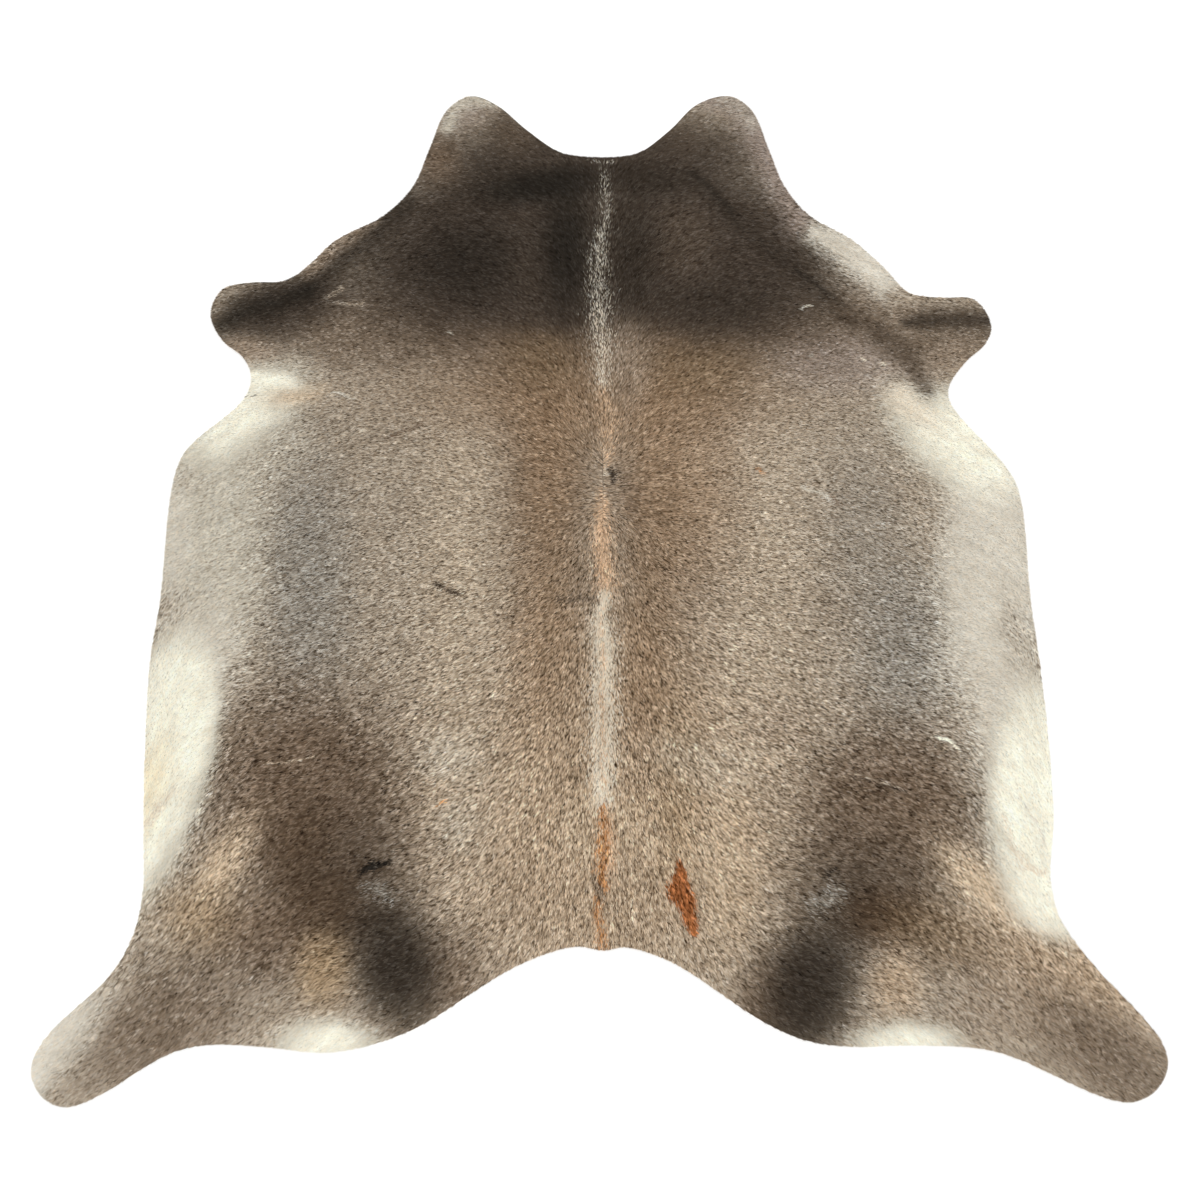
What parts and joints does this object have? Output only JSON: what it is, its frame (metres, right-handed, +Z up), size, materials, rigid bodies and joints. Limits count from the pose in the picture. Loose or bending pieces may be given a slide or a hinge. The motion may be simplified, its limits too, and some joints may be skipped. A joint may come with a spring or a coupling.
{
  "type": "cowhide rug",
  "caption": "Natural cowhide floor rug, one hair-on hide lying flat in its animal outline with neck lobes, fore legs and splayed hind legs.",
  "frame": {"origin": "on the floor under the middle of the hide's outline box", "axes": "+Z up from the floor through the hair side, +Y along the spine towards the neck, +X to the right hand side in the picture"},
  "size_m": [2.0086, 2.2002, 0.0065],
  "materials": {
    "hide": "hair-on hide, short lying brindled grey-brown hair, suede underside"
  },
  "bodies": {
    "root": {"hide": "hide"}
  },
  "joints": []
}
